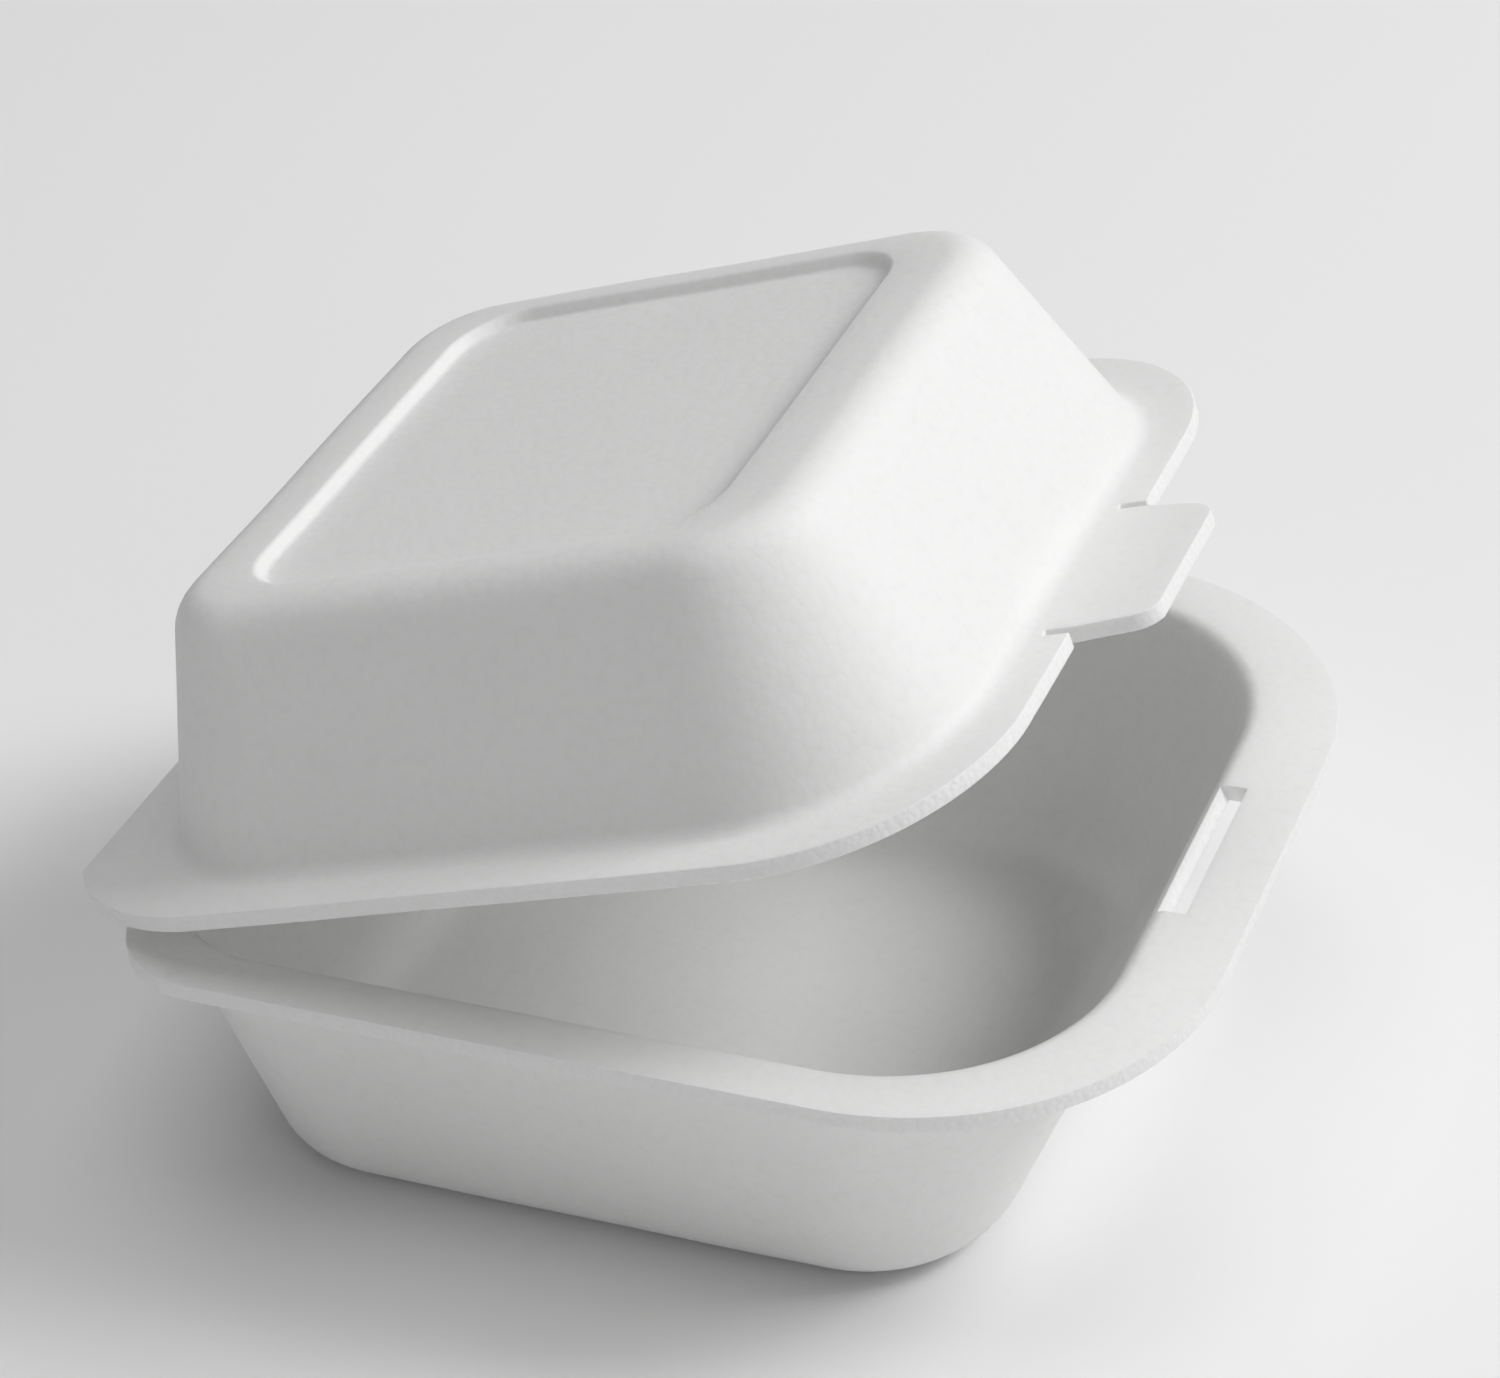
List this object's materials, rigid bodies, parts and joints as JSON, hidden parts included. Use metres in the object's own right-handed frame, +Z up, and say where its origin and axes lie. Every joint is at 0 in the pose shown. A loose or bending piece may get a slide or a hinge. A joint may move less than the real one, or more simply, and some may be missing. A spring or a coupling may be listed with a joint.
{
  "type": "foam burger box",
  "caption": "Square clamshell burger box of white expanded polystyrene foam, with a flared tray, a hinged domed lid, and a front tongue that tucks into a slot.",
  "frame": {"origin": "middle of the tray's flat underside, on the surface it stands on", "axes": "+X along the hinge, +Y from the front lip to the hinge, +Z up"},
  "size_m": [0.1244, 0.1407, 0.1027],
  "materials": {
    "foam": "smooth matt foam skin"
  },
  "bodies": {
    "base": {"tray": "foam"},
    "lid": {"lid": "foam"}
  },
  "joints": [
    {"name": "lid_hinge", "type": "hinge", "parent": "base", "child": "lid", "pos_m": [0, 0.06475, 0.04115], "axis": [-1, 0, 0], "range_deg": [-17, 163]}
  ]
}
